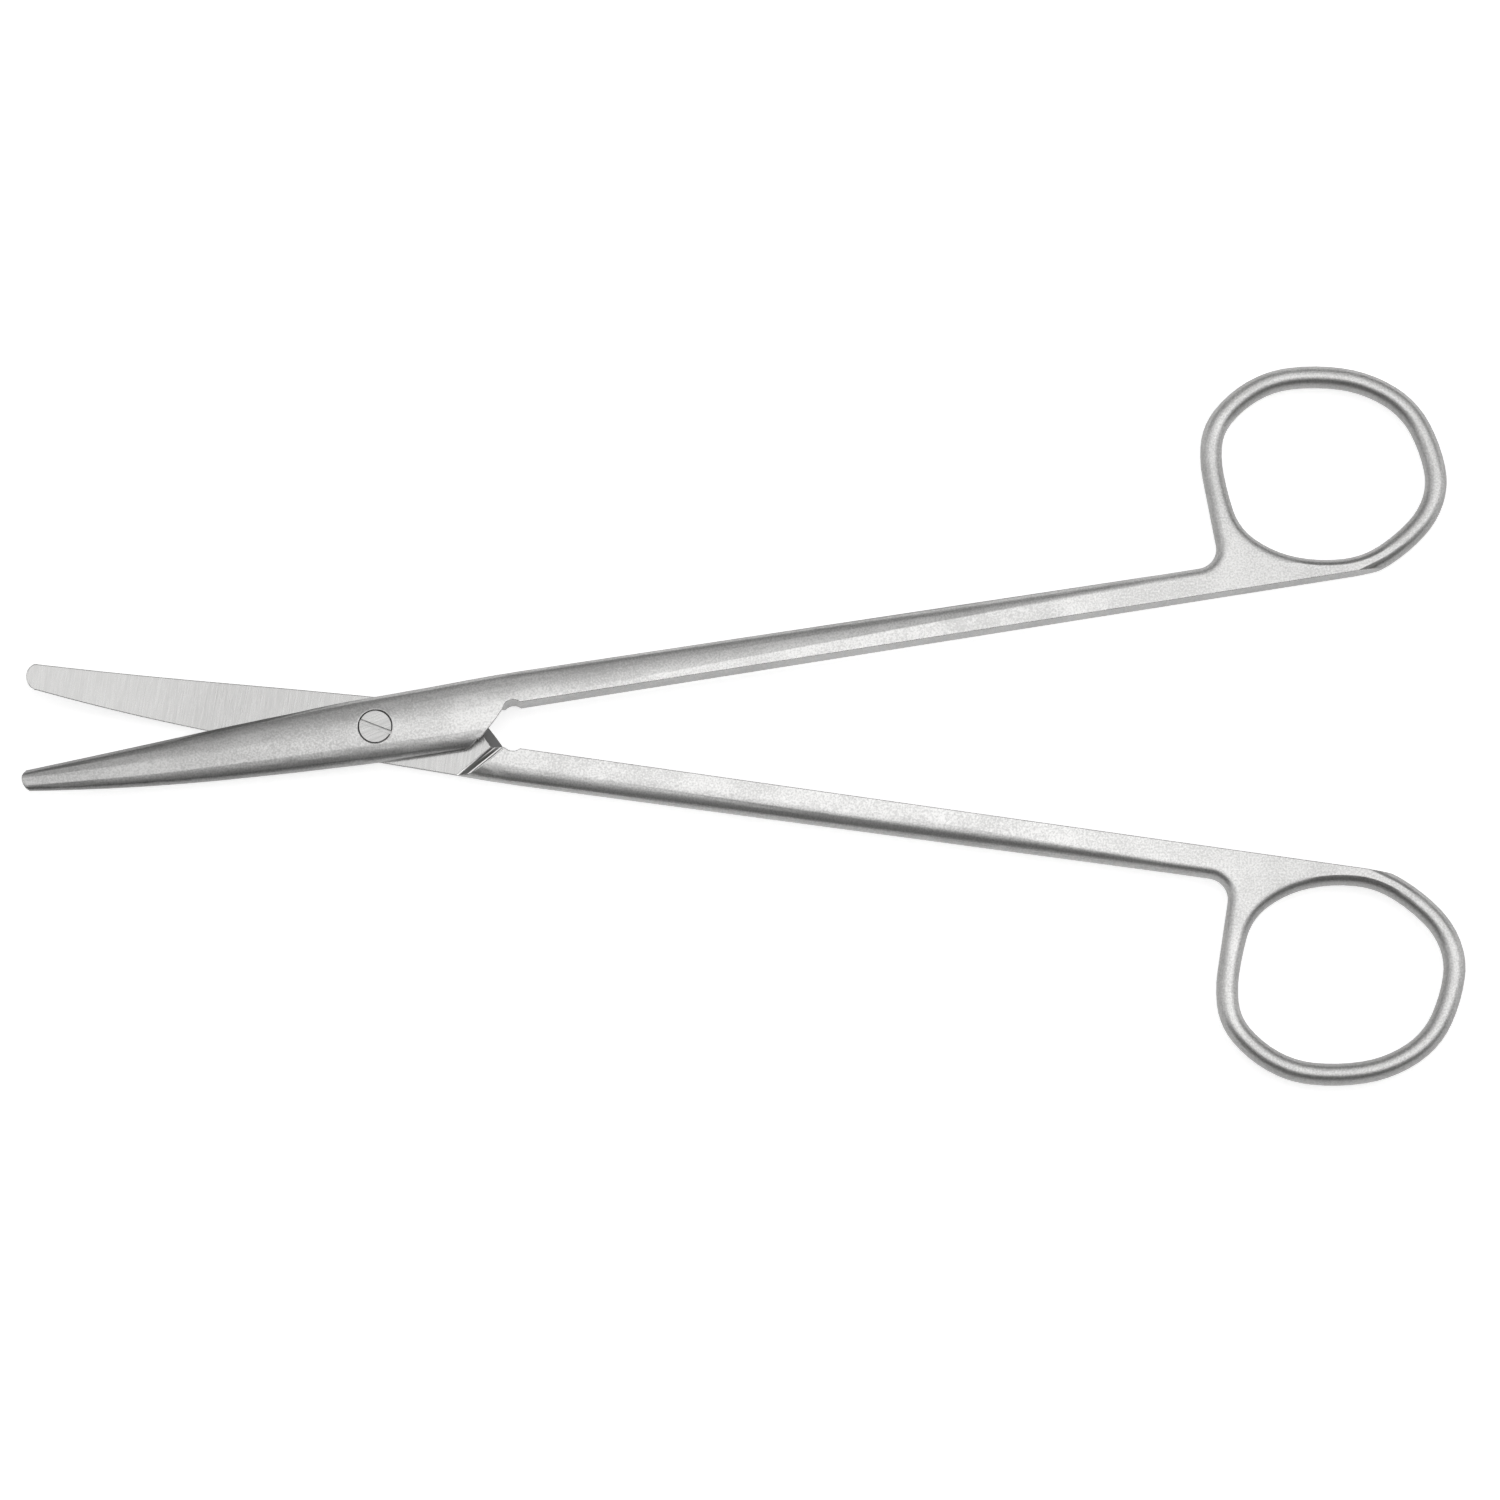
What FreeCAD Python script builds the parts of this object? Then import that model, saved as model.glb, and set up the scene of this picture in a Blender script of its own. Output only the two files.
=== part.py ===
import FreeCAD, Part
import math
import os

# Dissecting scissors with blunt, gently upturned blades.
# Two forged halves cross at a lap and turn about one slotted screw.
# X runs along the scissors from the tips to the rings, Z up through the screw head.
# The origin lies on the pivot axis, at the screw's flush end that rests on the table.
# The halves stand open by open_angle; each is drawn closed, along X, and then turned.

# Whole scissors
open_angle = 17.4
side_gap = 0.4
mating_gap = 0.06

# Blades, measured from the pivot axis
blade_length = 43.9
blade_mid = 20.5
curve_start = 20.0
curve_radius = 105.0
tip_overrun = 2.0
front_tip_spine = 1.4
front_tip_edge = 1.15
rear_tip_spine = 1.6
rear_tip_edge = 1.45
front_mid_spine = 3.3
front_mid_edge = 3.18
rear_mid_spine = 3.12
rear_mid_edge = 3.2
tip_height = 1.0
mid_height = 1.75
bevel_width = 0.3
bevel_height = 0.45
front_tip_arc = [(1.0, -1.62), (0.0, 0.1), (0.45, 0.95)]
rear_tip_arc = [(2.1, -1.95), (0.25, 0.2), (1.4, 1.45)]

# Lap, where the halves cross
lap_start = -7.0
lap_end = 8.0
lap_spine = 4.45
lap_edge = 4.15
lap_height = 2.1
lap_land = 0.45
back_flat_depth = 0.06

# Shoulder of each shank and the heel of the lap that closes against it
shoulder_reach = 14.6
shoulder_angle = 48.0
shoulder_depth = 1.55
shoulder_hollow = 0.22
shoulder_overrun = 0.3
heel_clearance = 0.25
heel_corner_radius = 3.0
relief_depth = 0.45
relief_length = 2.0

# Shanks
shank_width_at_lap = 4.2
shank_width_at_ring = 3.7
shank_height_at_lap = 1.92
crown_flat = 0.35

# Finger rings
ring_reach = 121.9
ring_offset = 13.65
ring_stagger = 0.2
ring_hole_length = 25.1
ring_hole_width = 22.0
ring_tilt = -15.0
ring_band = 2.7
ring_height = 1.55
ring_round = 1.6
ring_land = 0.06
root_step = 0.01
root_overlap = 1.0
web_corner_radius = 2.6
web_start = 4
ring_form = [
    (1.0, 0.14),
    (0.55, 0.86),
    (-0.38, 0.945),
    (-0.95, 0.47),
    (-0.98, -0.14),
    (-0.62, -0.86),
    (0.27, -0.99),
    (0.89, -0.47),
]

# Pivot screw
head_radius = 2.1
head_drop = 0.2
head_thickness = 0.8
head_chamfer = 0.12
bearing_radius = 1.4
bearing_clearance = 0.03
head_clearance = 0.05
thread_radius = 1.2
slot_width = 0.48
slot_depth = 0.42
slot_angle = -22.0

# Worked out from the sizes above
inner_side = side_gap / 2
centre_height = lap_height - back_flat_depth
blade_end = -blade_length
shank_end = ring_reach - ring_hole_length / 2 - ring_band - web_corner_radius
plate_start = shank_end - 2 * web_corner_radius
shank_start = shoulder_reach + shoulder_depth + relief_length
root_start = plate_start - root_overlap
cut_reach = 1.5 * blade_length
cut_height = 5 * lap_height
flow_degree = 3
shank_lead = 3.0
along = FreeCAD.Vector(1, 0, 0)
up = FreeCAD.Vector(0, 0, 1)
origin = FreeCAD.Vector(0, 0, 0)


def point(x, y, z=0.0):
    return FreeCAD.Vector(x, y, z)


def line(a, b):
    return Part.LineSegment(a, b).toShape()


def arc(a, b, c):
    return Part.Arc(a, b, c).toShape()


def prism(edges, depth):
    return Part.Face(Part.Wire(edges)).extrude(depth)


def through_three(u, stations, values):
    """A smooth run of one size along the blade: the parabola through three stations."""
    (u0, u1, u2), (v0, v1, v2) = stations, values
    first = (v1 - v0) / (u1 - u0)
    second = (v2 - v1) / (u2 - u1)
    bend = (second - first) / (u2 - u0)
    return v0 + first * (u - u0) + bend * (u - u0) * (u - u1)


def rise(reach):
    """How far the mating surface has curved up at this distance from the pivot."""
    run = max(0.0, reach - curve_start)
    return curve_radius - math.sqrt(curve_radius**2 - run**2)


def mating_cut(bend):
    """Everything on the far side of the surface that one blade slides over the other on."""
    top = mating_gap / 2
    mid = (curve_start + cut_reach) / 2
    edges = [
        line(point(0, 0, top), point(curve_start, 0, top)),
        arc(
            point(curve_start, 0, top),
            point(mid, 0, top + bend * rise(mid)),
            point(cut_reach, 0, top + bend * rise(cut_reach)),
        ),
        line(point(cut_reach, 0, top + bend * rise(cut_reach)), point(cut_reach, 0, -2 * cut_height)),
        line(point(cut_reach, 0, -2 * cut_height), point(0, 0, -2 * cut_height)),
        line(point(0, 0, -2 * cut_height), point(0, 0, top)),
    ]
    return Part.Face(Part.Wire(edges)).revolve(origin, up, 360)


def split(poles, share):
    """A curve's control points before and after this share of it."""
    before, after = [poles[0]], [poles[-1]]
    while len(poles) > 1:
        poles = [a + (b - a) * share for a, b in zip(poles, poles[1:])]
        before.append(poles[0])
        after.append(poles[-1])
    return before, after[::-1]


def side_runs(side, crown, sweep):
    """Part of an ellipse in three runs, upright at the side and turned by sweep at the crown."""
    across = (crown.y - side.y) / (1 - math.cos(sweep))
    tall = (crown.z - side.z) / math.sin(sweep)
    pull = 4 / 3 * math.tan(sweep / 4)
    first = side + up * (pull * tall)
    second = crown - point(0, across * math.sin(sweep), tall * math.cos(sweep)) * pull
    low, rest = split([side, first, second, crown], 1 / 3)
    middle, high = split(rest, 1 / 2)
    return [low, middle, high]


def backwards(runs):
    return [run[::-1] for run in runs[::-1]]


def oval_section(u, spine, edge, height, base, flat, land, bevel, sweep):
    """The oval bar's section at u: runs of control points, with a short flat along its crown."""
    wide, tall = bevel

    def at(v, z):
        return point(u, v, base + z)

    runs = [[at(-spine, -land), at(-spine, land)]]
    runs += side_runs(at(-spine, land), at(flat[0], height), sweep)
    runs += [[at(flat[0], height), at(flat[1], height)]]
    runs += backwards(side_runs(at(edge - wide, tall), at(flat[1], height), sweep))
    runs += [[at(edge - wide, tall), at(edge, 0)], [at(edge, 0), at(edge - wide, -tall)]]
    runs += side_runs(at(edge - wide, -tall), at(flat[1], -height), sweep)
    runs += [[at(flat[1], -height), at(flat[0], -height)]]
    runs += backwards(side_runs(at(-spine, -land), at(flat[0], -height), sweep))
    return runs


def skin(sections, degree):
    """Surfaces that flow along the sections, each of them pulling as control points do."""
    spans = len(sections) - degree
    knots = list(range(spans + 1))
    counts = [degree + 1] + [1] * (spans - 1) + [degree + 1]
    faces = []
    for strip in zip(*sections):
        across = len(strip[0]) - 1
        surface = Part.BSplineSurface()
        surface.buildFromPolesMultsKnots(
            strip, counts, [across + 1] * 2, knots, [0, 1], False, False, degree, across
        )
        faces.append(surface.toShape())
    return faces


def end_face(section):
    runs = []
    for poles in section:
        curve = Part.BezierCurve()
        curve.setPoles(poles)
        runs.append(curve.toShape())
    return Part.Face(Part.Wire(runs))


def stations(first, last, steps):
    """Evenly spaced places along the bar, without the last."""
    return [first + (last - first) * step / steps for step in range(steps)]


def blade_sections(bend, spines, edges):
    """The blade and lap, from beyond the tip to the end of the lap."""
    across = (blade_end, -blade_mid, lap_end)
    deep = (blade_end, -blade_mid, 0.0)
    sections = []
    for u in stations(blade_end - tip_overrun, lap_start, 7) + stations(lap_start, lap_end, 2) + [lap_end]:
        spine = through_three(u, across, spines)
        edge = through_three(u, across, edges)
        height = lap_height - (lap_height - shank_height_at_lap) * (u / shank_start) ** 2
        if u < 0:
            height = through_three(u, deep, (tip_height, mid_height, lap_height))
        middle = (edge - spine) / 2
        flat = (middle - crown_flat / 2, middle + crown_flat / 2)
        bevel = (bevel_width, bevel_height) if u < lap_start else (0.0, lap_land)
        base = bend * rise(-u)
        sections.append(oval_section(u, spine, edge, height, base, flat, lap_land, bevel, math.pi / 2))
    return sections


def shank_section(at_ring):
    """The oval of two closed shanks at one end, which the plane between them parts later."""
    if at_ring:
        outer = inner_side + shank_width_at_ring + root_step
        height = ring_height + root_step
        sweep = math.asin((ring_height - ring_land) / ring_round)
        side_round = ring_round * (1 - math.cos(sweep))
        u, land = plate_start, ring_land
    else:
        outer = inner_side + shank_width_at_lap
        height = shank_height_at_lap
        sweep = math.pi / 2
        side_round = shank_width_at_lap - crown_flat
        u, land = shank_start, lap_land
    flat = (side_round - outer, outer - side_round)
    return oval_section(u, outer, outer, height, 0.0, flat, land, (0.0, land), sweep)


def oval_bar(bend, spines, edges):
    """Blade, lap and shank as one bar: the shank runs straight and the rest flows into it."""
    near, far = shank_section(False), shank_section(True)
    back = -shank_lead / (plate_start - shank_start)
    lead = []
    for first, last in zip(near, far):
        lead.append([a + (b - a) * back for a, b in zip(first, last)])
    flowing = blade_sections(bend, spines, edges) + [lead, near]
    faces = skin(flowing, flow_degree) + skin([near, far], 1)
    shell = Part.Shell(faces + [end_face(flowing[0]), end_face(far)])
    shell.sewShape()
    solid = Part.Solid(shell)
    return solid if solid.Volume > 0 else solid.reversed()


def tip_outline(tip_arc):
    """The plan outline that rounds the blade's end."""
    spine_side, end, edge_side = [point(blade_end + run, v, -cut_height) for run, v in tip_arc]
    far = 3 * lap_spine
    back_spine = point(2 * plate_start, -far, -cut_height)
    back_edge = point(2 * plate_start, far, -cut_height)
    wide_spine = point(spine_side.x + lap_spine, -far, -cut_height)
    wide_edge = point(edge_side.x + lap_spine, far, -cut_height)
    edges = [
        arc(spine_side, end, edge_side),
        line(edge_side, wide_edge),
        line(wide_edge, back_edge),
        line(back_edge, back_spine),
        line(back_spine, wide_spine),
        line(wide_spine, spine_side),
    ]
    return prism(edges, up * (2 * cut_height))


def shoulder_frame(reach):
    """Start and directions of a line across the shank, square to the shoulder's slope."""
    angle = math.radians(shoulder_angle)
    run = FreeCAD.Vector(math.cos(angle), math.sin(angle), 0)
    outward = FreeCAD.Vector(math.sin(angle), -math.cos(angle), 0)
    return point(reach, 0), run, outward


def shoulder_cut():
    """Everything in front of the shank's hollow-ground shoulder."""
    start, run, _ = shoulder_frame(shoulder_reach)
    run = FreeCAD.Vector(-run.x, run.y, 0)
    outward = FreeCAD.Vector(run.y, -run.x, 0)
    first = start
    last = start + outward * shoulder_depth - up * lap_height
    slope = math.hypot(shoulder_depth, lap_height)
    inward = (outward * lap_height + up * shoulder_depth) * (shoulder_hollow / slope)
    extended = last + (last - first) * shoulder_overrun
    below = point(extended.x, extended.y, -cut_height)
    back = start - outward * (2 * cut_reach)
    edges = [
        arc(first, (first + last) / 2 + inward, last),
        line(last, extended),
        line(extended, below),
        line(below, back - up * cut_height),
        line(back - up * cut_height, back + up * cut_height),
        line(back + up * cut_height, first + up * cut_height),
        line(first + up * cut_height, first),
    ]
    tool = prism(edges, run * (2 * cut_reach))
    tool.translate(run * (-cut_reach))
    return tool


def heel_cut():
    """Trims the lap's end parallel to the other half's shoulder, with its rounded corner."""
    start, run, outward = shoulder_frame(shoulder_reach)
    middle = start - outward * heel_clearance
    slope = outward * shoulder_depth + up * lap_height
    foot = middle - slope * (cut_height / lap_height)
    top = middle + slope * (cut_height / lap_height)
    far = outward * (2 * plate_start)
    edges = [
        line(foot, top),
        line(top, top + far),
        line(top + far, foot + far),
        line(foot + far, foot),
    ]
    beyond = prism(edges, run * (4 * plate_start))
    beyond.translate(run * (-2 * plate_start))
    return beyond.fuse(heel_corner_cut(start, run, outward))


def heel_corner_cut(start, run, outward):
    """The rounded corner between the heel and the lap's spine side, seen in plan."""
    middle = start + outward * (0.5 * shoulder_depth - heel_clearance)
    steps = (middle.y + lap_spine) / run.y
    corner = middle - run * steps
    tangent = heel_corner_radius * math.tan(math.radians(shoulder_angle / 2))
    on_spine = corner - along * tangent
    on_heel = corner + run * tangent
    centre = on_spine + point(0, heel_corner_radius)
    half = math.radians(-90 + shoulder_angle / 2)
    bulge = centre + point(math.cos(half), math.sin(half)) * heel_corner_radius
    low = up * (-cut_height)
    outer_spine = on_spine - point(0, lap_spine)
    outer_heel = on_heel + outward * lap_spine
    outer_corner = corner + (outward * lap_spine) - point(0, lap_spine)
    edges = [
        arc(on_spine + low, bulge + low, on_heel + low),
        line(on_heel + low, outer_heel + low),
        line(outer_heel + low, outer_corner + low),
        line(outer_corner + low, outer_spine + low),
        line(outer_spine + low, on_spine + low),
    ]
    return prism(edges, up * (2 * cut_height))


def relief_cut():
    """The small ground hollow where the shank's inner side meets the heel."""
    radius = (relief_length**2 / 4 + relief_depth**2) / (2 * relief_depth)
    at = shoulder_reach + shoulder_depth + relief_length / 2
    foot = point(at, inner_side + relief_depth - radius, -cut_height)
    return Part.makeCylinder(radius, 2 * cut_height, foot)


def ring_points():
    """Points round the finger hole, and the direction in which its edge runs at each."""
    turn = FreeCAD.Rotation(up, ring_tilt)
    centre = point(ring_reach, ring_offset)
    half_length, half_width = ring_hole_length / 2, ring_hole_width / 2
    hole = [centre + turn.multVec(point(x * half_length, y * half_width)) for x, y in ring_form]
    following = hole[1:] + hole[:1]
    before = hole[-1:] + hole[:-1]
    directions = [(b - a).normalize() for a, b in zip(before, following)]
    return hole, directions


def tangent_arc(start, direction, end, band):
    """The arc from start to end that leaves along direction, moved outward by band."""
    chord = end - start
    side = point(-direction.y, direction.x)
    radius = chord.Length**2 / (2 * side.dot(chord))
    centre = start + side * radius
    middle = (start + end) / 2 - centre
    middle = centre + middle.normalize() * radius
    return arc(*[centre + (at - centre) * ((radius + band) / radius) for at in (start, middle, end)])


def ring_outline(band):
    """The finger hole's edge, or the ring's outside at a distance from it: arcs that flow together."""
    hole, directions = ring_points()
    edges = []
    for index, start in enumerate(hole):
        following = (index + 1) % len(hole)
        end = hole[following]
        leaving, arriving = directions[index], directions[following]
        chord = end - start
        turn = leaving + arriving
        gap = 2 * (1 - leaving.dot(arriving))
        reach = (math.sqrt(chord.dot(turn) ** 2 + gap * chord.dot(chord)) - chord.dot(turn)) / gap
        meeting = (start + end + (leaving - arriving) * reach) / 2
        between = (end - arriving * reach - start - leaving * reach).normalize()
        edges.append(tangent_arc(start, leaving, meeting, band))
        edges.append(tangent_arc(meeting, between, end, band))
    return edges


def crossing(edge, level):
    """The edge's circle and where its rising side passes y = level."""
    circle = edge.Curve
    across = math.sqrt(circle.Radius**2 - (level - circle.Center.y) ** 2)
    return circle, point(circle.Center.x + across, level)


def ring_blank():
    """The ring's outside, the web and the root of the shank in plan, running on below the inner side."""
    outside = ring_outline(ring_band)
    above = outside[: 2 * web_start]
    for index, edge in enumerate(outside[2 * web_start :]):
        if edge.firstVertex().Y < inner_side < edge.lastVertex().Y:
            circle, leaving = crossing(edge, inner_side)
            rising = circle.toShape(circle.parameter(leaving), edge.LastParameter)
            after = outside[2 * web_start + index + 1 :]
    run = point(circle.Center.y - leaving.y, leaving.x - circle.Center.x).normalize()
    below = leaving - run * (ring_band / run.y)
    outer_side = inner_side + shank_width_at_ring
    shoulder = above[-1].lastVertex().Point
    down = ring_points()[1][web_start]
    foot = shoulder + down * ((shoulder.y - outer_side) / -down.y)
    tangent = web_corner_radius * math.tan(math.acos(-down.x) / 2)
    on_wall = foot - down * tangent
    on_shank = foot - along * tangent
    centre = on_shank + point(0, web_corner_radius)
    bulge = centre + (foot - centre).normalize() * web_corner_radius
    root_outer = point(root_start, outer_side)
    root_below = point(root_start, below.y)
    return above + [
        line(shoulder, on_wall),
        arc(on_wall, bulge, on_shank),
        line(on_shank, root_outer),
        line(root_outer, root_below),
        line(root_below, below),
        line(below, leaving),
        rising,
    ] + after


def round_rims(plate, kept_sharp):
    """Rounds the level edges of a thick plate, apart from those that a test keeps sharp."""
    rims = []
    for edge in plate.Edges:
        box = edge.BoundBox
        if box.ZLength < 0.01 and not kept_sharp(box):
            rims.append(edge)
    return plate.makeFillet(ring_round, rims)


def ring_and_web():
    """The finger ring, the web that carries it and the root of the shank, ground flat on both faces."""
    thick = 2 * (ring_round + ring_land)
    outside = prism(ring_blank(), up * thick)
    outside.translate(up * (-thick / 2))
    low_side = inner_side - ring_band + 0.01
    root = root_start + 0.01
    outside = round_rims(outside, lambda box: box.YMax < low_side or box.XMax < root)
    reach = ring_reach + 2 * ring_hole_length
    hole = prism(ring_outline(0), up * thick)
    hole.translate(up * (-thick / 2))
    around = Part.makeBox(reach, 2 * reach, thick, point(0, -reach, -thick / 2)).cut(hole)
    around = round_rims(around, lambda box: max(box.XLength, box.YLength) > ring_hole_length)
    faces = Part.makeBox(reach, reach, 2 * ring_height, point(0, inner_side, -ring_height))
    return outside.common(faces).common(around.common(faces))


def half(bend, spines, edges, tip_arc, ring_shift):
    """One forged half, lying closed along X with its lap above the mating surface."""
    bar = oval_bar(bend, spines, edges)
    other_side = Part.makeBox(
        2 * plate_start, cut_reach, 2 * cut_height, point(0, inner_side - cut_reach, -cut_height)
    )
    bar = bar.cut(heel_cut().common(other_side))
    bar = bar.cut(mating_cut(bend).common(shoulder_cut()))
    bar = bar.cut(relief_cut()).common(tip_outline(tip_arc))
    plate = ring_and_web()
    plate.translate(along * ring_shift)
    return bar.fuse(plate)


def place(shape, turn):
    """Lift a half to its height and swing it open about the pivot."""
    shape.translate(up * centre_height)
    shape.rotate(origin, up, turn)
    return shape


def front_half():
    spines = (front_tip_spine, front_mid_spine, lap_spine)
    edges = (front_tip_edge, front_mid_edge, lap_edge)
    body = half(1, spines, edges, front_tip_arc, -ring_stagger)
    bore = Part.makeCylinder(bearing_radius + bearing_clearance, cut_height, point(0, 0, -1))
    seat = lap_height - head_drop - head_thickness - bearing_clearance
    counterbore = Part.makeCylinder(head_radius + head_clearance, cut_height, point(0, 0, seat))
    return place(body.cut([bore, counterbore]), open_angle / 2)


def rear_half():
    spines = (rear_tip_spine, rear_mid_spine, lap_spine)
    edges = (rear_tip_edge, rear_mid_edge, lap_edge)
    body = half(-1, spines, edges, rear_tip_arc, ring_stagger)
    tapped = Part.makeCylinder(thread_radius, cut_height, point(0, 0, -1))
    flat = Part.makeBox(
        cut_reach, cut_reach, cut_height, point(-cut_reach / 2, -cut_reach / 2, centre_height)
    )
    body = body.cut([tapped, flat])
    body.rotate(origin, along, 180)
    return place(body, -open_angle / 2)


def pivot_screw():
    head_top = centre_height + lap_height - head_drop
    head_foot = head_top - head_thickness
    step = centre_height - mating_gap / 2
    profile = [
        point(0, 0, 0),
        point(thread_radius, 0, 0),
        point(thread_radius, 0, step),
        point(bearing_radius, 0, step),
        point(bearing_radius, 0, head_foot),
        point(head_radius, 0, head_foot),
        point(head_radius, 0, head_top - head_chamfer),
        point(head_radius - head_chamfer, 0, head_top),
        point(0, 0, head_top),
        point(0, 0, 0),
    ]
    body = Part.Face(Part.makePolygon(profile)).revolve(origin, up, 360)
    length = 3 * head_radius
    slot = Part.makeBox(
        length, slot_width, cut_height, point(-length / 2, -slot_width / 2, head_top - slot_depth)
    )
    slot.rotate(origin, up, slot_angle)
    return body.cut(slot)


os.makedirs("parts", exist_ok=True)
front_half().exportStep("parts/front_half.step")
rear_half().exportStep("parts/rear_half.step")
pivot_screw().exportStep("parts/pivot_screw.step")
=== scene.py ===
import math
import bpy
from mathutils import Matrix, Vector

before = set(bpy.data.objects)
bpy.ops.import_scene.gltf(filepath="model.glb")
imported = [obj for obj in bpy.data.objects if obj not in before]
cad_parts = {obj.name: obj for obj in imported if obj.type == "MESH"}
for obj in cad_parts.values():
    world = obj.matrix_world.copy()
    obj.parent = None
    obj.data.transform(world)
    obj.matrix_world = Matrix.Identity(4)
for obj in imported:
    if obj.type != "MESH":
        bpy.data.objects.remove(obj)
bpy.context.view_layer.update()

# The front half: one stainless drop forging with its blade at the lower left, its lap over the
# other half's, and its shank and ring at the upper right. It is blasted with fine glass beads to a
# satin grey, then surface ground on the face that meets the other half. It turns on the screw.
half_angle = math.radians(8.7)
meeting_height = 0.00204
meeting_tolerance = 0.00015
curve_start = 0.02
curve_radius = 0.105
shoulder_start = 0.008
shoulder_end = 0.018
shoulder_angle = math.radians(48)
shoulder_steepness = 0.74
edge_radius = 0.0002
rim_radius = 0.0009
rim_begins = 0.0020
rim_full = 0.0030


def node_group(name, inputs, outputs):
    """An empty shader group with named number or vector sockets."""
    group = bpy.data.node_groups.new(name, "ShaderNodeTree")
    for label, kind, value in inputs:
        socket = group.interface.new_socket(label, in_out="INPUT", socket_type=kind)
        socket.default_value = value
    for label, kind in outputs:
        group.interface.new_socket(label, in_out="OUTPUT", socket_type=kind)
    return group, group.nodes.new("NodeGroupInput"), group.nodes.new("NodeGroupOutput")


def maths(tree, operation, first, second=None):
    """A Math node whose inputs are sockets or numbers. Gives its output socket."""
    node = tree.nodes.new("ShaderNodeMath")
    node.operation = operation
    for place, given in enumerate((first, second)):
        if isinstance(given, (int, float)):
            node.inputs[place].default_value = given
        elif given is not None:
            tree.links.new(given, node.inputs[place])
    return node.outputs[0]


def weighted(tree, first, second, share):
    """The first value by its share plus the second by the rest."""
    major = maths(tree, "MULTIPLY", first, share)
    minor = maths(tree, "MULTIPLY", second, 1 - share)
    return maths(tree, "ADD", major, minor)


def ramp_between(tree, value, low, high, to_low=0.0, to_high=1.0):
    """Maps value from low..high to to_low..to_high, smoothly and clamped."""
    node = tree.nodes.new("ShaderNodeMapRange")
    node.interpolation_type = "SMOOTHSTEP"
    tree.links.new(value, node.inputs["Value"])
    labels = ("From Min", "From Max", "To Min", "To Max")
    for label, number in zip(labels, (low, high, to_low, to_high)):
        node.inputs[label].default_value = number
    return node.outputs["Result"]


def noise(tree, vector, scale, detail, roughness=0.5):
    """A Noise Texture on the given coordinates. Gives its value socket."""
    node = tree.nodes.new("ShaderNodeTexNoise")
    tree.links.new(vector, node.inputs["Vector"])
    node.inputs["Scale"].default_value = scale
    node.inputs["Detail"].default_value = detail
    node.inputs["Roughness"].default_value = roughness
    return node.outputs["Fac"]


def stretched(tree, vector, turn, scale):
    """The coordinates turned about the upright axis, then scaled along each axis."""
    turned = tree.nodes.new("ShaderNodeMapping")
    turned.inputs["Rotation"].default_value = (0, 0, turn)
    tree.links.new(vector, turned.inputs["Vector"])
    node = tree.nodes.new("ShaderNodeVectorMath")
    node.operation = "MULTIPLY"
    tree.links.new(turned.outputs["Vector"], node.inputs[0])
    node.inputs[1].default_value = scale
    return node.outputs[0]


# The fine pitted grain that the glass beads leave, with faint clouds in it.
blast, given, made = node_group(
    "blasted grain",
    [("Vector", "NodeSocketVector", (0, 0, 0))],
    [("Height", "NodeSocketFloat"), ("Tone", "NodeSocketFloat")],
)
grain_size = 0.00024
cloud_size = 0.006
pits = noise(blast, given.outputs["Vector"], 1 / grain_size, 2.0, 0.6)
clouds = noise(blast, given.outputs["Vector"], 1 / cloud_size, 3.0, 0.55)
blast.links.new(pits, made.inputs["Height"])
blast.links.new(weighted(blast, pits, clouds, 0.7), made.inputs["Tone"])

# The fine marks of a grinding wheel that runs along Y, with the broader bands of its passes.
grind, given, made = node_group(
    "grinding marks",
    [("Vector", "NodeSocketVector", (0, 0, 0))],
    [("Height", "NodeSocketFloat"), ("Tone", "NodeSocketFloat")],
)
mark_width = 0.00009
mark_length = 0.004
pass_width = 9 * mark_width
pass_length = 4 * mark_length
mark_scale = (1 / mark_width, 1 / mark_length, 1 / mark_width)
pass_scale = (1 / pass_width, 1 / pass_length, 1 / pass_width)
marks = noise(grind, stretched(grind, given.outputs["Vector"], 0, mark_scale), 1.0, 3.0, 0.65)
passes = noise(grind, stretched(grind, given.outputs["Vector"], 0, pass_scale), 1.0, 2.0)
grind.links.new(marks, made.inputs["Height"])
grind.links.new(weighted(grind, marks, passes, 0.85), made.inputs["Tone"])

# The edges, rounded in the shading, and a mask of them: there the steel is smoother, worn by
# handling, and a painted highlight lightens its colour.
rounded_with_painted_highlight, given, made = node_group(
    "rubbed edges",
    [("Radius", "NodeSocketFloat", 0.0001)],
    [("Normal", "NodeSocketVector"), ("Mask", "NodeSocketFloat")],
)
bevel = rounded_with_painted_highlight.nodes.new("ShaderNodeBevel")
bevel.samples = 6
rounded_with_painted_highlight.links.new(given.outputs["Radius"], bevel.inputs["Radius"])
surface = rounded_with_painted_highlight.nodes.new("ShaderNodeNewGeometry")
agree = rounded_with_painted_highlight.nodes.new("ShaderNodeVectorMath")
agree.operation = "DOT_PRODUCT"
rounded_with_painted_highlight.links.new(bevel.outputs["Normal"], agree.inputs[0])
rounded_with_painted_highlight.links.new(surface.outputs["Normal"], agree.inputs[1])
rounded_with_painted_highlight.links.new(bevel.outputs["Normal"], made.inputs["Normal"])
rounded_with_painted_highlight.links.new(ramp_between(rounded_with_painted_highlight, agree.outputs["Value"], 0.995, 0.93), made.inputs["Mask"])


def parts_of(tree, vector):
    """The X, Y and Z of a vector, as sockets by name."""
    node = tree.nodes.new("ShaderNodeSeparateXYZ")
    tree.links.new(vector, node.inputs[0])
    return node.outputs


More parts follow.
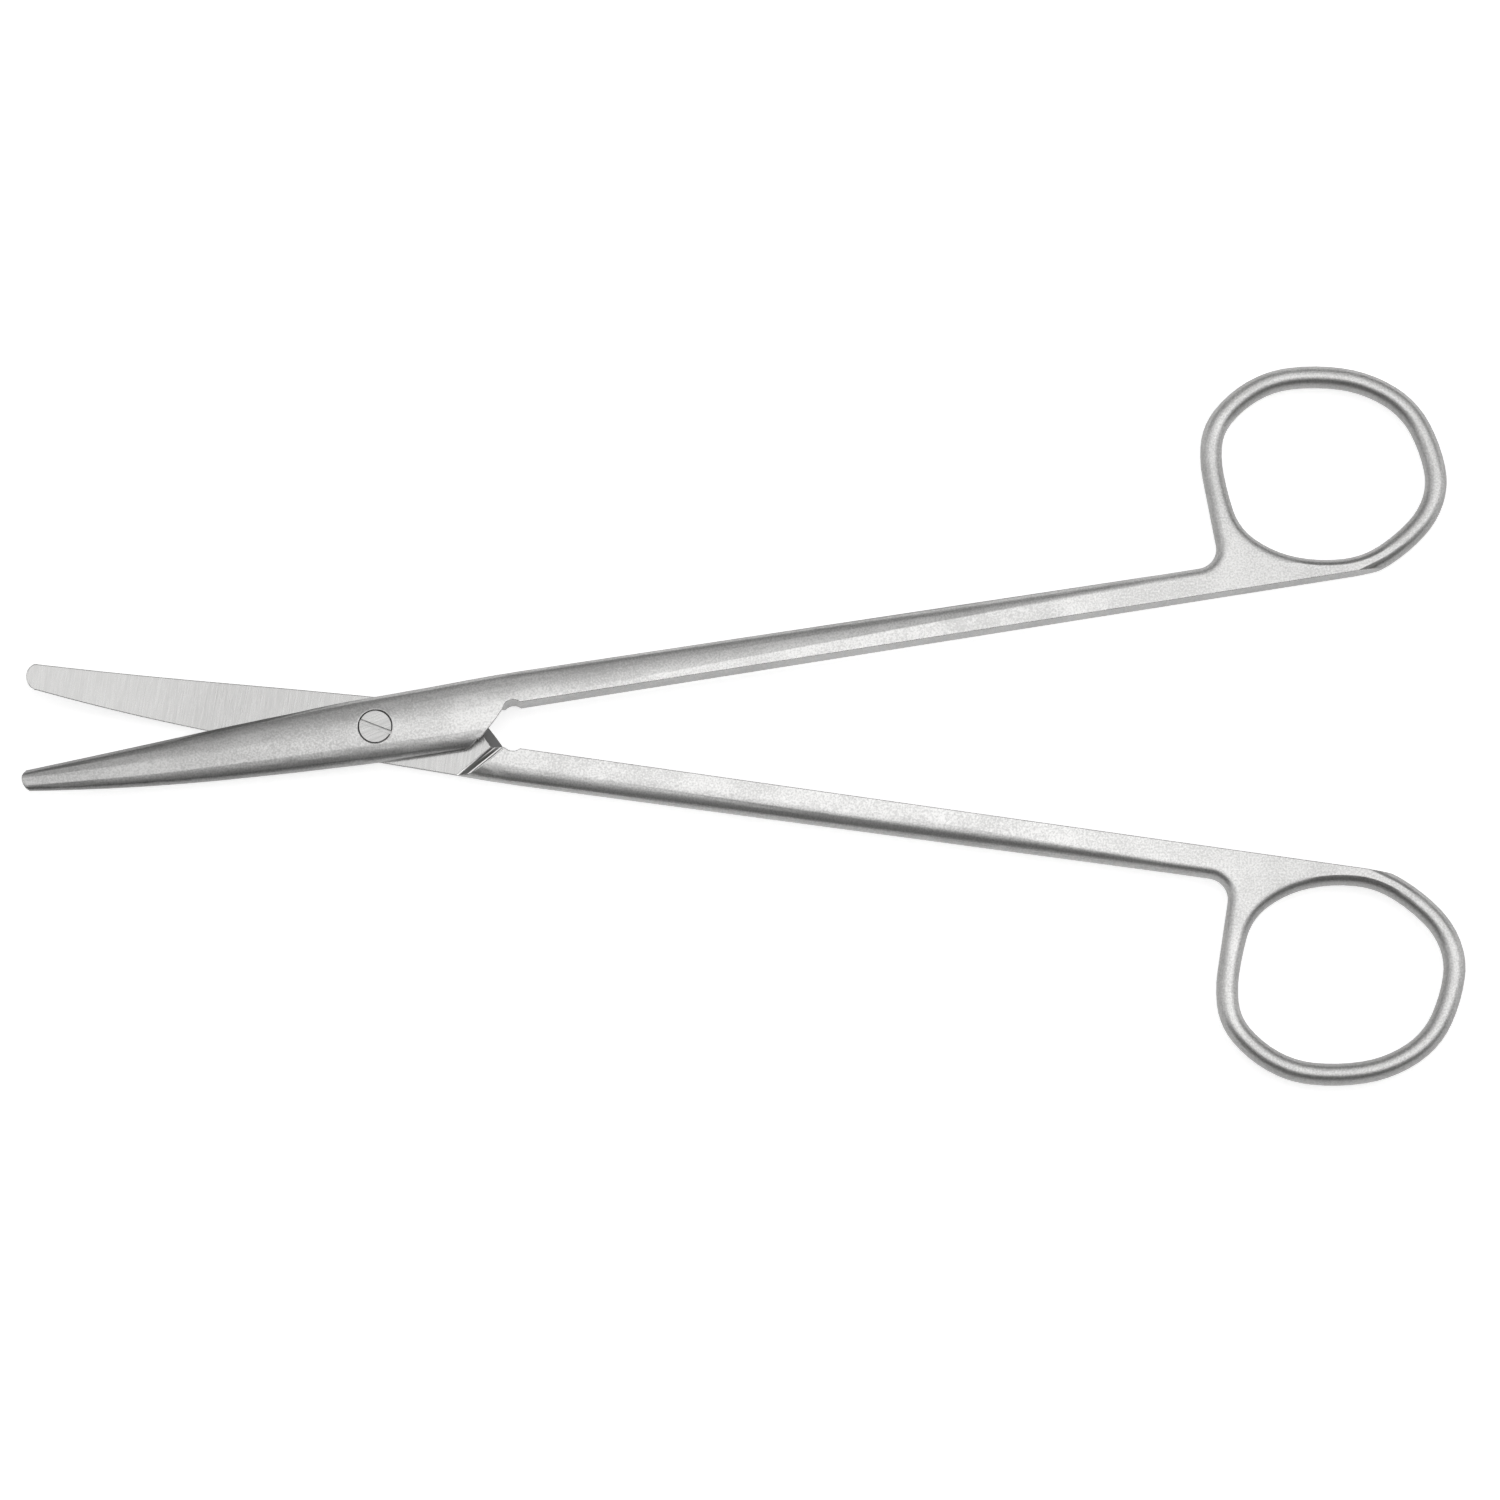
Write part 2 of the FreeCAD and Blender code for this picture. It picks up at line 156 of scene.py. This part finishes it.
# The face that meets the other half: flat round the screw, then rising towards the tip on the
# curve's radius. Level is 1 on a face that lies flat and 0 on an upright one.
meeting, given, made = node_group(
    "ground meeting face",
    [("Place", "NodeSocketVector", (0, 0, 0)), ("Facing", "NodeSocketVector", (0, 0, 1))],
    [("Mask", "NodeSocketFloat"), ("Level", "NodeSocketFloat")],
)
at = parts_of(meeting, given.outputs["Place"])
reach = meeting.nodes.new("ShaderNodeVectorMath")
reach.operation = "LENGTH"
meeting.links.new(stretched(meeting, given.outputs["Place"], 0, (1, 1, 0)), reach.inputs[0])
run = maths(meeting, "SUBTRACT", reach.outputs["Value"], curve_start)
run = maths(meeting, "MAXIMUM", run, 0.0)
rise = maths(meeting, "DIVIDE", maths(meeting, "MULTIPLY", run, run), 2 * curve_radius)
above = maths(meeting, "SUBTRACT", at["Z"], maths(meeting, "ADD", rise, meeting_height))
near = maths(meeting, "LESS_THAN", maths(meeting, "ABSOLUTE", above), meeting_tolerance)
level = maths(meeting, "ABSOLUTE", parts_of(meeting, given.outputs["Facing"])["Z"])
flat = maths(meeting, "GREATER_THAN", level, 0.95)
flat = maths(meeting, "MULTIPLY", flat, maths(meeting, "LESS_THAN", at["X"], shoulder_end))
meeting.links.new(maths(meeting, "MULTIPLY", near, flat), made.inputs["Mask"])
meeting.links.new(level, made.inputs["Level"])


def turned_towards(tree, facing, direction, limit):
    """A mask of the faces that face near this direction."""
    node = tree.nodes.new("ShaderNodeVectorMath")
    node.operation = "DOT_PRODUCT"
    tree.links.new(facing, node.inputs[0])
    tree.links.new(direction, node.inputs[1])
    return maths(tree, "GREATER_THAN", node.outputs["Value"], limit)


# The shoulder behind the lap, which is hollow ground along its slant, and the heel that closes
# against the other half's shoulder. Each is told by the direction that it faces.
shoulder, given, made = node_group(
    "shoulder and heel",
    [
        ("Place", "NodeSocketVector", (0, 0, 0)),
        ("Facing", "NodeSocketVector", (0, 0, 1)),
        ("Slope", "NodeSocketVector", (-1, 0, 0)),
        ("Heel", "NodeSocketVector", (1, 0, 0)),
    ],
    [("Slope", "NodeSocketFloat"), ("Heel", "NodeSocketFloat")],
)
at = parts_of(shoulder, given.outputs["Place"])
before_end = maths(shoulder, "LESS_THAN", at["X"], shoulder_end)
after_start = maths(shoulder, "GREATER_THAN", at["X"], shoulder_start)
lap_part = maths(shoulder, "MULTIPLY", before_end, after_start)
for label, limit in (("Slope", 0.85), ("Heel", 0.95)):
    near = turned_towards(shoulder, given.outputs["Facing"], given.outputs[label], limit)
    shoulder.links.new(maths(shoulder, "MULTIPLY", lap_part, near), made.inputs[label])

# The outer rim of a shank, which is rounded off more and more towards the ring.
rim, given, made = node_group(
    "rounded rim",
    [
        ("Place", "NodeSocketVector", (0, 0, 0)),
        ("Across", "NodeSocketVector", (0, 0, 0)),
        ("Side", "NodeSocketFloat", 1.0),
    ],
    [("Radius", "NodeSocketFloat")],
)
inwards = maths(rim, "MULTIPLY", given.outputs["Side"], -1.0)
outwards = maths(rim, "MULTIPLY", parts_of(rim, given.outputs["Across"])["Y"], inwards)
share = ramp_between(rim, outwards, rim_begins, rim_full)
along_shank = parts_of(rim, given.outputs["Place"])["X"]
share = maths(rim, "MULTIPLY", share, ramp_between(rim, along_shank, 0.04, 0.08))
rim_size = ramp_between(rim, share, 0.0, 1.0, edge_radius, rim_radius)
rim.links.new(rim_size, made.inputs["Radius"])

# The flanks of the grooves in the hollow grinding, which face up to the light. Sockets 0, 4 and 5
# are a vector mix's factor and its two vectors, and output 1 is its vector.
grooves, given, made = node_group(
    "hollow grinding grooves",
    [
        ("Mask", "NodeSocketFloat", 0.0),
        ("Tone", "NodeSocketFloat", 0.5),
        ("Normal", "NodeSocketVector", (0, 0, 1)),
    ],
    [("Normal", "NodeSocketVector")],
)
flank = ramp_between(grooves, given.outputs["Tone"], 0.45, 0.55, 0.05, 0.9)
raised = grooves.nodes.new("ShaderNodeMix")
raised.data_type = "VECTOR"
grooves.links.new(maths(grooves, "MULTIPLY", given.outputs["Mask"], flank), raised.inputs[0])
grooves.links.new(given.outputs["Normal"], raised.inputs[4])
raised.inputs[5].default_value = (0, 0, 1)
unit = grooves.nodes.new("ShaderNodeVectorMath")
unit.operation = "NORMALIZE"
grooves.links.new(raised.outputs[1], unit.inputs[0])
grooves.links.new(unit.outputs[0], made.inputs["Normal"])

# The slightly warm grey of stainless steel, at a given lightness.
steel_grey, given, made = node_group(
    "steel grey",
    [("Light", "NodeSocketFloat", 0.6)],
    [("Color", "NodeSocketColor")],
)
tint = steel_grey.nodes.new("ShaderNodeCombineColor")
steel_grey.links.new(given.outputs["Light"], tint.inputs["Red"])
for label, share in (("Green", 0.995), ("Blue", 0.985)):
    channel = maths(steel_grey, "MULTIPLY", given.outputs["Light"], share)
    steel_grey.links.new(channel, tint.inputs[label])
steel_grey.links.new(tint.outputs["Color"], made.inputs["Color"])


def place_group(tree, group, **values):
    """Puts a group into a material and sets its inputs from sockets or numbers."""
    node = tree.nodes.new("ShaderNodeGroup")
    node.node_tree = group
    for label, value in values.items():
        if isinstance(value, bpy.types.NodeSocket):
            tree.links.new(value, node.inputs[label])
        else:
            node.inputs[label].default_value = value
    return node


def mix(tree, factor, first, second):
    """Mixes two numbers, or sockets, by a factor socket."""
    node = tree.nodes.new("ShaderNodeMix")
    tree.links.new(factor, node.inputs["Factor"])
    for label, value in (("A", first), ("B", second)):
        if isinstance(value, (int, float)):
            node.inputs[label].default_value = value
        else:
            tree.links.new(value, node.inputs[label])
    return node.outputs["Result"]


def bumped(tree, height, normal, strength, distance):
    """A Bump node on the given normal. Gives its normal socket."""
    node = tree.nodes.new("ShaderNodeBump")
    node.inputs["Strength"].default_value = strength
    node.inputs["Distance"].default_value = distance
    tree.links.new(height, node.inputs["Height"])
    tree.links.new(normal, node.inputs["Normal"])
    return node.outputs["Normal"]


def steel(name):
    """A new bare metal material: the material, its node tree and its shader."""
    material = bpy.data.materials.new(name)
    material.use_nodes = True
    shader = material.node_tree.nodes["Principled BSDF"]
    shader.inputs["Metallic"].default_value = 1.0
    return material, material.node_tree, shader


def forged_steel(name, along, side):
    """Satin steel of one half whose shank lies at the angle along. Side is 1 where its ground
    face looks up and -1 where it looks down."""
    material, tree, shader = steel(name)
    place = tree.nodes.new("ShaderNodeTexCoord")
    where, facing = place.outputs["Object"], place.outputs["Normal"]
    turned = stretched(tree, where, -along, (1, 1, 1))

    slant = shoulder_angle * side + along
    slope_way = Vector((-math.sin(abs(slant)), side * math.cos(slant), side * shoulder_steepness))
    heel_line = shoulder_angle - side * along
    heel_way = Vector((math.sin(heel_line), side * math.cos(heel_line), side * shoulder_steepness))
    slope_way.normalize()
    heel_way.normalize()
    strokes = stretched(tree, where, math.radians(90) - slant, (0.3, 0.3, 0.3))

    blasted = place_group(tree, blast, Vector=where)
    wheel = place_group(tree, grind, Vector=turned)
    hollow = place_group(tree, grind, Vector=strokes)
    edge = place_group(tree, rounded_with_painted_highlight, Radius=edge_radius)
    met = place_group(tree, meeting, Place=where, Facing=facing)
    cut = place_group(tree, shoulder, Place=where, Facing=facing, Slope=slope_way, Heel=heel_way)
    outer = place_group(tree, rim, Place=where, Across=turned, Side=float(side))
    round_rim = place_group(tree, rounded_with_painted_highlight, Radius=outer.outputs["Radius"])
    ground = met.outputs["Mask"]

    # Colour: blasted skin with painted shade that darkens it to the tips, a little darker towards
    # the rings, even ground faces, painted highlight on the edges, painted shade on upright sides,
    # the shoulder's streaks lightened with painted highlights, and painted shade on the heel.
    skin = ramp_between(tree, blasted.outputs["Tone"], 0.36, 0.64, 0.56, 0.76)
    lengthways = parts_of(tree, where)["X"]
    # Painted shade: the skin darkens towards the blade tips, where the curved blades turn away
    # from the light.
    skin = maths(tree, "MULTIPLY", skin, ramp_between(tree, lengthways, -0.05, 0.04, 0.62, 1.08))
    # A little darker towards the rings.
    skin = maths(tree, "MULTIPLY", skin, ramp_between(tree, lengthways, 0.09, 0.118, 1.0, 0.88))
    ground_light = ramp_between(tree, wheel.outputs["Tone"], 0.3, 0.7, 0.50, 0.55)
    light = mix(tree, ground, skin, ground_light)
    # Painted highlight: the edges are lightened.
    light = mix(tree, edge.outputs["Mask"], light, 0.72)
    # Painted shade: faces that stand upright are darkened, down to half on a vertical side.
    painted_side_shade = ramp_between(tree, met.outputs["Level"], 0.45, 0.97, 0.5, 1.0)
    light = maths(tree, "MULTIPLY", light, painted_side_shade)
    # The hollow-ground shoulder: grinding streaks, lightened with painted highlights.
    streaks_and_painted_highlight = ramp_between(tree, hollow.outputs["Tone"], 0.42, 0.58, 0.55, 1.0)
    light = mix(tree, cut.outputs["Slope"], light, streaks_and_painted_highlight)
    # Painted shade: the heel face is darkened, standing in for the dark gap that it reflects.
    light = mix(tree, cut.outputs["Heel"], light, 0.13)
    colour = place_group(tree, steel_grey, Light=light)
    tree.links.new(colour.outputs["Color"], shader.inputs["Base Color"])

    blasted_rough = ramp_between(tree, blasted.outputs["Tone"], 0.3, 0.7, 0.40, 0.34)
    ground_rough = ramp_between(tree, wheel.outputs["Tone"], 0.3, 0.7, 0.32, 0.25)
    rough = mix(tree, ground, blasted_rough, ground_rough)
    rough = mix(tree, edge.outputs["Mask"], rough, 0.22)
    tree.links.new(rough, shader.inputs["Roughness"])

    height = mix(tree, ground, blasted.outputs["Height"], wheel.outputs["Height"])
    normal = bumped(tree, height, round_rim.outputs["Normal"], 0.35, 0.00004)
    slope, tone = cut.outputs["Slope"], hollow.outputs["Tone"]
    grooved = place_group(tree, grooves, Mask=slope, Tone=tone, Normal=normal)
    tree.links.new(grooved.outputs["Normal"], shader.inputs["Normal"])
    return material


def finish_with(node, material):
    """Gives a solid of the frame one material all over."""
    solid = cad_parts[node]
    solid.data.materials.clear()
    solid.data.materials.append(material)


finish_with("front_half", forged_steel("satin steel of the front half", half_angle, -1))

# The rear half: the other stainless forging, blasted and ground in the same way, with the flat
# ground face of its blade towards the camera. The screw is tapped into its lap.
finish_with("rear_half", forged_steel("satin steel of the rear half", -half_angle, 1))

# The pivot screw: turned from stainless round bar, its head faced flat and brushed along the slot.
# It is screwed into the rear half and ground flush at the back.
slot_brush_angle = math.radians(68)
screw_edge_radius = 0.00006
screw_steel, tree, shader = steel("turned steel of the screw")
place = tree.nodes.new("ShaderNodeTexCoord")
brushed = stretched(tree, place.outputs["Object"], slot_brush_angle, (1, 1, 1))
wheel = place_group(tree, grind, Vector=brushed)
edge = place_group(tree, rounded_with_painted_highlight, Radius=screw_edge_radius)
light = ramp_between(tree, wheel.outputs["Tone"], 0.3, 0.7, 0.46, 0.56)
# Painted highlight: the screw's edges are lightened.
light = mix(tree, edge.outputs["Mask"], light, 0.65)
colour = place_group(tree, steel_grey, Light=light)
tree.links.new(colour.outputs["Color"], shader.inputs["Base Color"])
rough = ramp_between(tree, wheel.outputs["Tone"], 0.3, 0.7, 0.36, 0.24)
tree.links.new(rough, shader.inputs["Roughness"])
normal = bumped(tree, wheel.outputs["Height"], edge.outputs["Normal"], 0.3, 0.00003)
tree.links.new(normal, shader.inputs["Normal"])
finish_with("pivot_screw", screw_steel)

# The white table under the scissors. It isn't part of them. What the camera and the metal see of
# it is lifted to white without any more light on the scissors, and it keeps their shadow.
table_size = 3.0
table_lift = 0.62
bpy.ops.mesh.primitive_plane_add(size=table_size, location=(0, 0, 0))
table = bpy.context.object
table.name = "white table"
paper = bpy.data.materials.new("white paper")
paper.use_nodes = True
tree = paper.node_tree
shader = tree.nodes["Principled BSDF"]
shader.inputs["Base Color"].default_value = (0.8, 0.8, 0.8, 1)
shader.inputs["Roughness"].default_value = 0.9
shader.inputs["Specular IOR Level"].default_value = 0.1
path = tree.nodes.new("ShaderNodeLightPath")
seen = maths(tree, "MAXIMUM", path.outputs["Is Camera Ray"], path.outputs["Is Glossy Ray"])
seen = maths(tree, "MAXIMUM", seen, path.outputs["Is Transmission Ray"])
shader.inputs["Emission Color"].default_value = (1, 1, 1, 1)
tree.links.new(maths(tree, "MULTIPLY", seen, table_lift), shader.inputs["Emission Strength"])
table.data.materials.append(paper)

# Studio light in a dim grey room: a large soft box overhead that reaches far past the rings and
# ends sharply on the near side, a long dimmer panel on the far side, and a panel beyond each end.
world = bpy.data.worlds.new("studio room")
bpy.context.scene.world = world
world.use_nodes = True
world.node_tree.nodes["Background"].inputs["Color"].default_value = (0.10, 0.10, 0.10, 1)


def soft_box(name, width, depth, position, target, brightness):
    """A flat area lamp aimed at a point. Brightness is what a mirror would show of it."""
    lamp = bpy.data.lights.new(name, "AREA")
    lamp.shape = "RECTANGLE"
    lamp.size = width
    lamp.size_y = depth
    lamp.energy = brightness * math.pi * width * depth
    holder = bpy.data.objects.new(name, lamp)
    bpy.context.scene.collection.objects.link(holder)
    holder.location = position
    facing_way = Vector(target) - Vector(position)
    holder.rotation_euler = facing_way.to_track_quat("-Z", "Y").to_euler()


middle = (0.045, 0, 0)
soft_box("overhead soft box", 0.95, 0.58, (0.265, 0.0, 0.6), (0.265, 0.0, 0), 1.3)
soft_box("far panel", 1.3, 0.35, (0.045, 0.50, 0.46), middle, 0.5)
soft_box("left panel", 0.7, 0.7, (-0.62, 0.1, 0.45), middle, 0.8)
soft_box("right panel", 0.5, 0.7, (0.84, 0.1, 0.40), middle, 0.8)

# The camera stands nearly overhead, tipped towards the near edge of the table.
camera_tilt = math.radians(12.33)
camera_roll = math.radians(-0.48)
camera_distance = 0.8065
sensor_width = 36
lens_length = sensor_width * 3255.5 / 750
aim = Vector((0.04634, -0.00297, 0.002))
sideways = Vector((1, 0, 0))
towards = Vector((0, -math.sin(camera_tilt), math.cos(camera_tilt)))
level_up = Vector((0, math.cos(camera_tilt), math.sin(camera_tilt)))
right = sideways * math.cos(camera_roll) + level_up * math.sin(camera_roll)
upwards = level_up * math.cos(camera_roll) - sideways * math.sin(camera_roll)
lens = bpy.data.cameras.new("camera")
lens.sensor_width = sensor_width
lens.lens = lens_length
lens.clip_start = 0.01
camera = bpy.data.objects.new("camera", lens)
bpy.context.scene.collection.objects.link(camera)
turning = Matrix((right, upwards, towards)).transposed()
camera.matrix_world = Matrix.Translation(aim + towards * camera_distance) @ turning.to_4x4()
bpy.context.scene.camera = camera
bpy.context.scene.view_settings.view_transform = "Standard"
